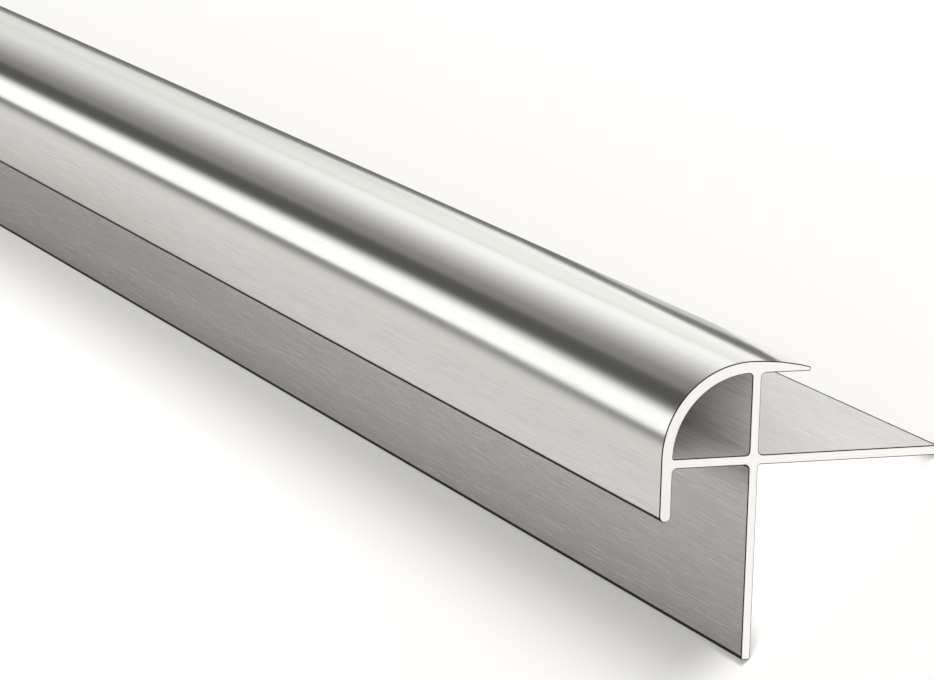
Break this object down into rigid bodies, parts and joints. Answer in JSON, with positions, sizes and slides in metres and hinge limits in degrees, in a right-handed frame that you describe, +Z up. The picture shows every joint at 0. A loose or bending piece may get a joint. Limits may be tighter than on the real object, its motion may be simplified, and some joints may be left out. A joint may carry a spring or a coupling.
{
  "type": "external corner trim",
  "caption": "Extruded aluminium outside-corner trim: quarter-round nose, two crossing flanges and two slots that hold the edges of 10 mm panels.",
  "frame": {"origin": "centre of the bounding box, at the level the flange tips rest on", "axes": "+Y along the extrusion, away from the end the picture shows; +Z up, through the nose; +X to the right when looking along +Y, towards the tapered lip"},
  "size_m": [0.0356, 2.44, 0.0301],
  "materials": {
    "brushed_aluminium": "brushed along the length, satin to semi-bright"
  },
  "bodies": {
    "root": {"corner_trim": "brushed_aluminium"}
  },
  "joints": []
}
